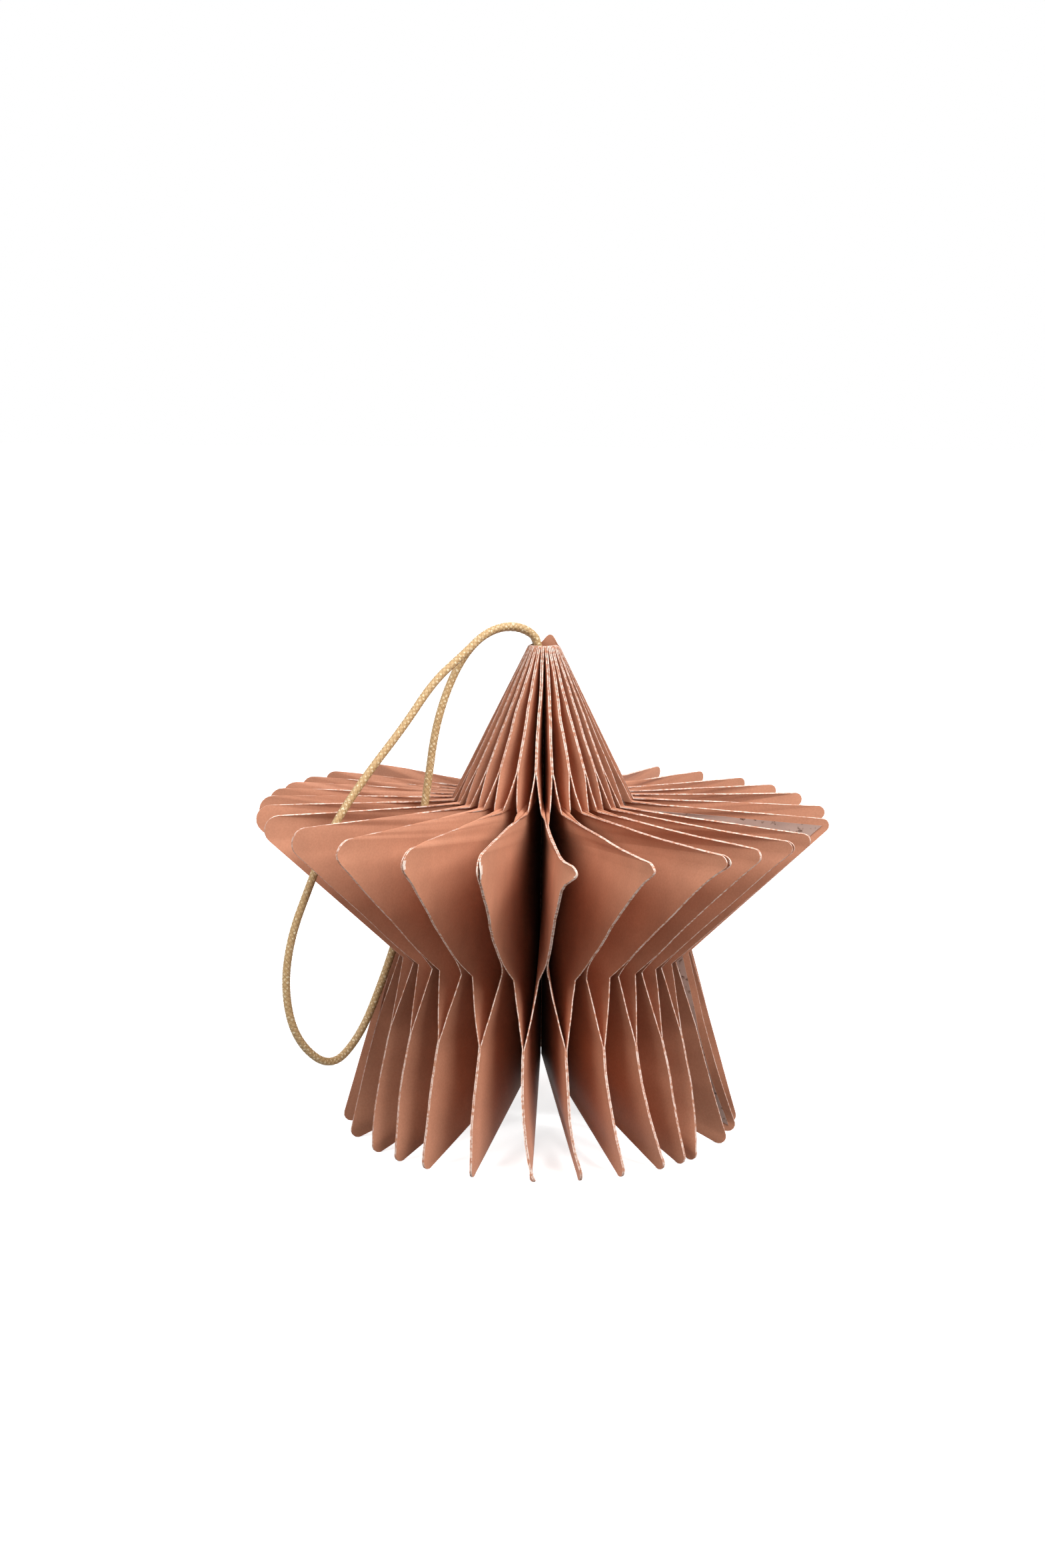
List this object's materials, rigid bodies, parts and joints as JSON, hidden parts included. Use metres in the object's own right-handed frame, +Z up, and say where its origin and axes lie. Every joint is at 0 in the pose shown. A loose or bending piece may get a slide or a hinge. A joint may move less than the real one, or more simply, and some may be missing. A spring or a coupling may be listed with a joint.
{
  "type": "origami star ornament",
  "caption": "Hanging star of die-cut paper leaves fanned round a spine and glued into pockets, with a cone top, arms, legs and a draped cord loop.",
  "frame": {"origin": "on the axis of the spine, at the level of the feet of the legs", "axes": "+Z up along the spine, -Y the front of the star as pictured, +X to its right"},
  "size_m": [0.1002, 0.1003, 0.0906],
  "materials": {
    "paper": "uncoated dyed card, matt with a faint sheen, pale cut edges",
    "film": "greyish adhesive film with dusty edges",
    "cord": "waxed cotton cord, finely braided"
  },
  "bodies": {
    "root": {"leaf_01": "paper", "leaf_02": "paper", "leaf_03": "paper", "leaf_04": "paper", "leaf_05": "paper", "leaf_06": "paper", "leaf_07": "paper", "leaf_08": "paper", "leaf_09": "paper", "leaf_10": "paper", "leaf_11": "paper", "leaf_12": "paper", "leaf_13": "paper", "leaf_14": "paper", "leaf_15": "paper", "leaf_16": "paper", "leaf_17": "paper", "leaf_18": "paper", "leaf_19": "paper", "leaf_20": "paper", "leaf_21": "paper", "leaf_22": "paper", "leaf_23": "paper", "leaf_24": "paper", "leaf_25": "paper", "leaf_26": "paper", "leaf_27": "paper", "leaf_28": "paper", "leaf_29": "paper", "leaf_30": "paper", "leaf_31": "paper", "leaf_32": "paper", "leaf_33": "paper", "leaf_34": "paper", "leaf_35": "paper", "leaf_36": "paper", "leaf_37": "paper", "leaf_38": "paper", "leaf_39": "paper", "leaf_40": "paper", "leaf_41": "paper", "leaf_42": "paper", "leaf_43": "paper", "leaf_44": "paper", "leaf_45": "paper", "leaf_46": "paper", "leaf_47": "paper", "leaf_48": "paper", "leaf_49": "paper", "leaf_50": "paper", "leaf_51": "paper", "leaf_52": "paper", "leaf_53": "paper", "leaf_54": "paper", "leaf_55": "paper", "leaf_56": "paper", "adhesive_film": "film", "hanging_cord": "cord", "cord_knot": "cord"}
  },
  "joints": []
}
